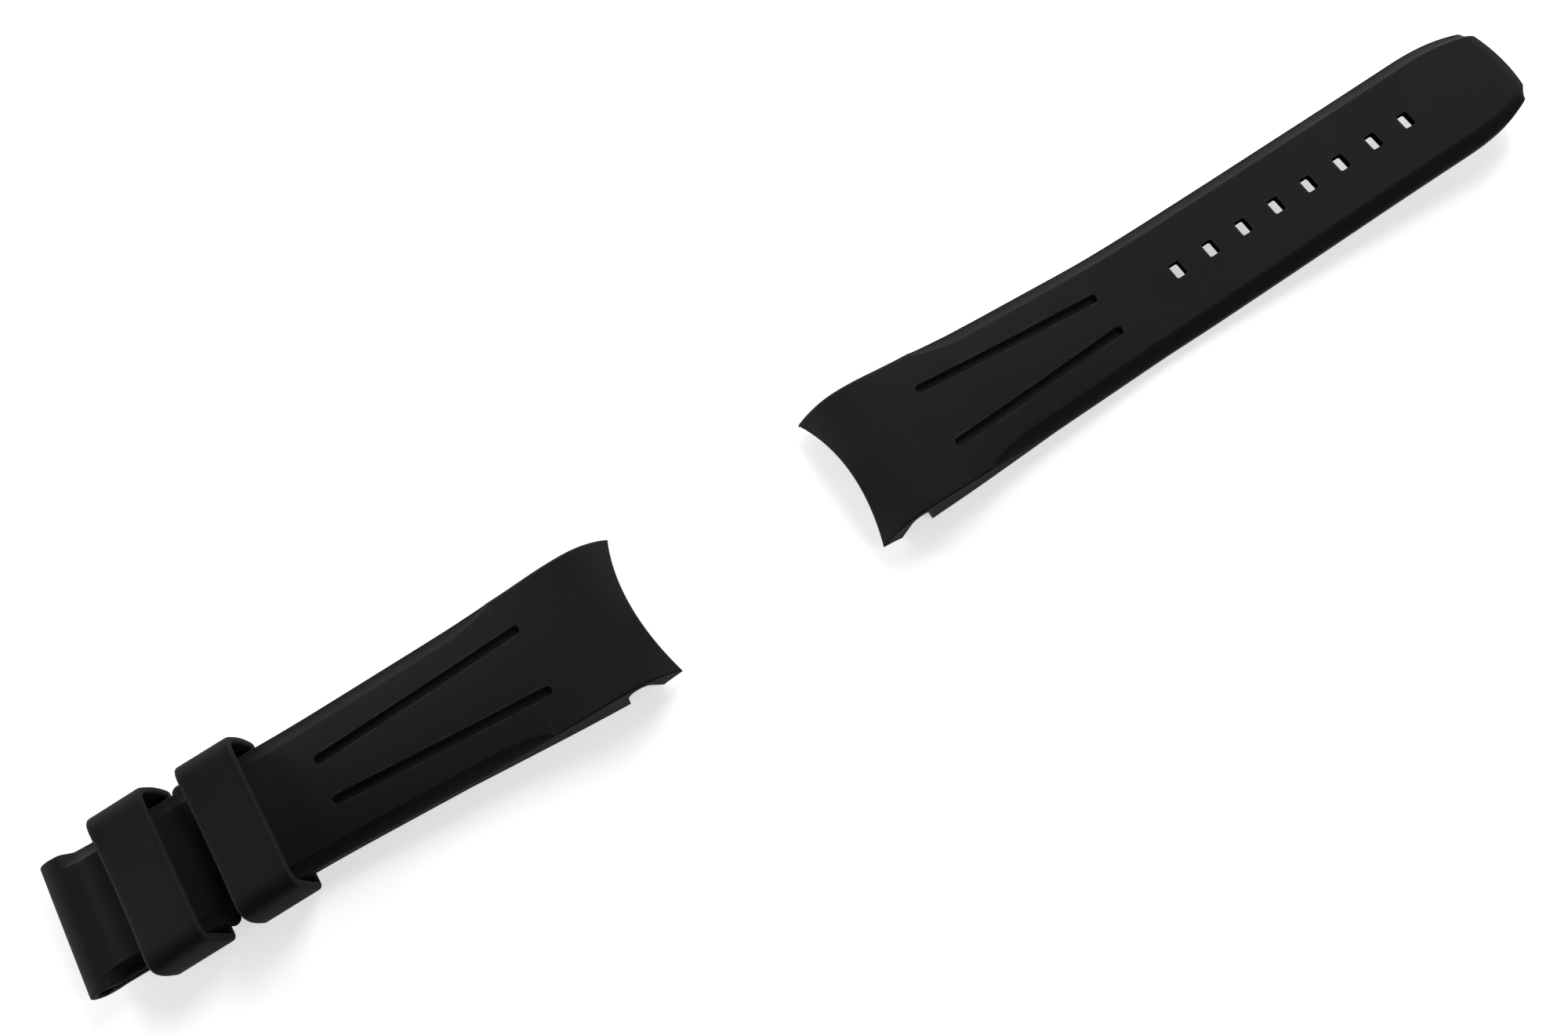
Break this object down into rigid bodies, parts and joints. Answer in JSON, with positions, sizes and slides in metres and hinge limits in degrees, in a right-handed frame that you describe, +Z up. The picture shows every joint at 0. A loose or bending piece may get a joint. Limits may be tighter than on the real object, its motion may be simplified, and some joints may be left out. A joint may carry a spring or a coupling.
{
  "type": "watch strap",
  "caption": "Black rubber watch strap in two loose halves with curved ends: one with adjusting holes, one folded into a loop for the clasp bar, with two keepers that slide on it.",
  "frame": {"origin": "middle of the bar bore in the watch end of the buckle half", "axes": "+X along the strap from the buckle half toward the hole half, +Y across the strap, +Z up from the table the halves lie on; the table is 3 mm below the origin"},
  "size_m": [0.2357, 0.026, 0.0086],
  "materials": {
    "strap_rubber": "matte moulded",
    "keeper_rubber": "matte moulded, a little smoother",
    "tube_steel": "drawn"
  },
  "bodies": {
    "buckle_half": {"buckle_strap": "strap_rubber", "buckle_strap_tube": "tube_steel"},
    "hole_half": {"hole_strap": "strap_rubber", "hole_strap_tube": "tube_steel"},
    "fold_keeper": {"fold_keeper": "keeper_rubber"},
    "sliding_keeper": {"sliding_keeper": "keeper_rubber"}
  },
  "joints": [
    {"name": "halves_spacing", "type": "slide", "parent": "buckle_half", "child": "hole_half", "axis": [1, 0, 0], "range_m": [-0.002, 0.008]},
    {"name": "fold_keeper_slide", "type": "slide", "parent": "buckle_half", "child": "fold_keeper", "axis": [1, 0, 0], "range_m": [-0.0045, 0.0008]},
    {"name": "sliding_keeper_slide", "type": "slide", "parent": "buckle_half", "child": "sliding_keeper", "axis": [1, 0, 0], "range_m": [-0.0008, 0.0245]}
  ]
}
